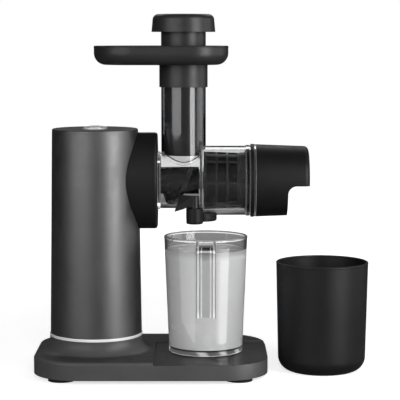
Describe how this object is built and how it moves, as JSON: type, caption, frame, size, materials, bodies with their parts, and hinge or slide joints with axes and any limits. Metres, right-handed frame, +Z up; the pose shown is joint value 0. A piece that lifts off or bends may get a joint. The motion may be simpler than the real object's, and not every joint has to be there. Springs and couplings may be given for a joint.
{
  "type": "cold press juicer",
  "caption": "Slow juicer with an upright motor tower, a horizontal screw press, feed tray and pusher, drip stop, juice jug and pulp cup.",
  "frame": {"origin": "on the standing surface, under the middle of the whole set", "axes": "+X along the screw from the tower to the pulp cap, -Y the front where the jug is pulled out, +Z up"},
  "size_m": [0.3472, 0.16, 0.3719],
  "materials": {
    "base_black": "satin dark grey",
    "cover_plastic": "matt",
    "rubber": "matt",
    "seal_silicone": "matt silicone",
    "steel": "plain",
    "bright_ring": "polished",
    "tower_metal": "brushed, dark lacquer",
    "black_plastic": "satin",
    "lever_grey": "satin",
    "bezel_silver": "satin silver",
    "button_silver": "satin silver",
    "board_green": "laminate",
    "gear_case_metal": "die cast",
    "gear_nylon": "moulded nylon",
    "brass": "machined",
    "magnet": "ferrite",
    "winding": "wound core",
    "clear_plastic": "clear",
    "screw_plastic": "satin",
    "basket_plastic": "satin",
    "mesh_steel": "etched sheet",
    "tray_grey": "satin",
    "cup_black": "satin"
  },
  "bodies": {
    "stand": {"base_shell": "base_black", "bottom_cover": "cover_plastic", "rubber_feet": "rubber", "foot_screws": "steel", "cord_inlet": "rubber", "trim_ring": "bright_ring", "inner_frame": "cover_plastic", "frame_screws": "steel", "tower_sleeve": "tower_metal", "tower_cap": "black_plastic", "control_bezel": "bezel_silver", "start_spring": "steel", "reverse_spring": "steel", "control_board": "board_green", "push_switches": "cover_plastic", "board_screws": "steel", "socket_housing": "black_plastic", "socket_screws": "steel", "shaft_seal": "rubber", "gear_case": "gear_case_metal", "gear_case_screws": "steel", "ring_gear": "steel", "output_bearing": "steel", "motor_can": "steel", "motor_end_bell": "cover_plastic", "field_magnets": "magnet", "motor_bushes": "brass", "brush_gear": "cover_plastic", "juicing_chamber": "clear_plastic", "chamber_seal": "rubber", "lock_ring": "black_plastic", "filter_basket": "basket_plastic", "filter_mesh": "mesh_steel", "juice_outlet": "black_plastic"},
    "rotor": {"motor_shaft": "steel", "armature": "winding", "commutator": "brass", "cooling_fan": "cover_plastic", "sun_pinion": "brass"},
    "drive": {"planet_carrier": "steel", "planet_pins": "steel", "drive_coupling": "steel"},
    "planet_1": {"planet_gear_1": "gear_nylon"},
    "planet_2": {"planet_gear_2": "gear_nylon"},
    "planet_3": {"planet_gear_3": "gear_nylon"},
    "screw": {"juicing_screw": "screw_plastic"},
    "cap": {"pulp_cap": "black_plastic", "cap_seal": "seal_silicone", "nose_bush": "gear_nylon"},
    "drip_stop": {"drip_lever": "lever_grey", "lever_pin": "steel", "drip_flap": "black_plastic", "flap_seal": "seal_silicone"},
    "tray": {"feed_tray": "tray_grey"},
    "pusher": {"pusher_body": "tray_grey", "pusher_cap": "tray_grey"},
    "jug": {"juice_jug": "clear_plastic"},
    "cup": {"pulp_cup": "cup_black"},
    "start_key": {"start_button": "button_silver"},
    "reverse_key": {"reverse_button": "button_silver"}
  },
  "joints": [
    {"name": "rotor_turn", "type": "hinge", "parent": "stand", "child": "rotor", "pos_m": [-0.1, 0, 0.2], "axis": [1, 0, 0], "continuous": true},
    {"name": "drive_turn", "type": "hinge", "parent": "stand", "child": "drive", "pos_m": [-0.1, 0, 0.2], "axis": [1, 0, 0], "continuous": true},
    {"name": "screw_turn", "type": "hinge", "parent": "stand", "child": "screw", "pos_m": [0, 0, 0.2], "axis": [1, 0, 0], "continuous": true},
    {"name": "planet_1_spin", "type": "hinge", "parent": "drive", "child": "planet_1", "pos_m": [-0.08, 0, 0.1865], "axis": [1, 0, 0], "continuous": true},
    {"name": "planet_2_spin", "type": "hinge", "parent": "drive", "child": "planet_2", "pos_m": [-0.08, 0.01169, 0.20675], "axis": [1, 0, 0], "continuous": true},
    {"name": "planet_3_spin", "type": "hinge", "parent": "drive", "child": "planet_3", "pos_m": [-0.08, -0.01169, 0.20675], "axis": [1, 0, 0], "continuous": true},
    {"name": "cap_twist", "type": "hinge", "parent": "stand", "child": "cap", "pos_m": [0.06, 0, 0.2], "axis": [1, 0, 0], "range_deg": [0, 40]},
    {"name": "drip_lever_swing", "type": "hinge", "parent": "stand", "child": "drip_stop", "pos_m": [-0.0078, -0.0315, 0.17], "axis": [0, 0, 1], "range_deg": [0, 50]},
    {"name": "tray_lift", "type": "slide", "parent": "stand", "child": "tray", "axis": [0, 0, 1], "range_m": [0, 0.1]},
    {"name": "pusher_lift", "type": "slide", "parent": "tray", "child": "pusher", "axis": [0, 0, 1], "range_m": [0, 0.115]},
    {"name": "jug_pull", "type": "slide", "parent": "stand", "child": "jug", "axis": [0, -1, 0], "range_m": [0, 0.15]},
    {"name": "cup_pull", "type": "slide", "parent": "stand", "child": "cup", "axis": [0, -1, 0], "range_m": [0, 0.15]},
    {"name": "start_press", "type": "slide", "parent": "stand", "child": "start_key", "axis": [0, 0, -1], "range_m": [0, 0.0012], "stiffness_N_per_m": 600, "deforming": ["start_spring"]},
    {"name": "reverse_press", "type": "slide", "parent": "stand", "child": "reverse_key", "axis": [0, 0, -1], "range_m": [0, 0.0012], "stiffness_N_per_m": 600, "deforming": ["reverse_spring"]}
  ],
  "couplings": [
    {"joint": "drive_turn", "follows": "rotor_turn", "ratio": 0.2},
    {"joint": "screw_turn", "follows": "rotor_turn", "ratio": 0.2},
    {"joint": "planet_1_spin", "follows": "rotor_turn", "ratio": -0.53333},
    {"joint": "planet_2_spin", "follows": "rotor_turn", "ratio": -0.53333},
    {"joint": "planet_3_spin", "follows": "rotor_turn", "ratio": -0.53333}
  ]
}
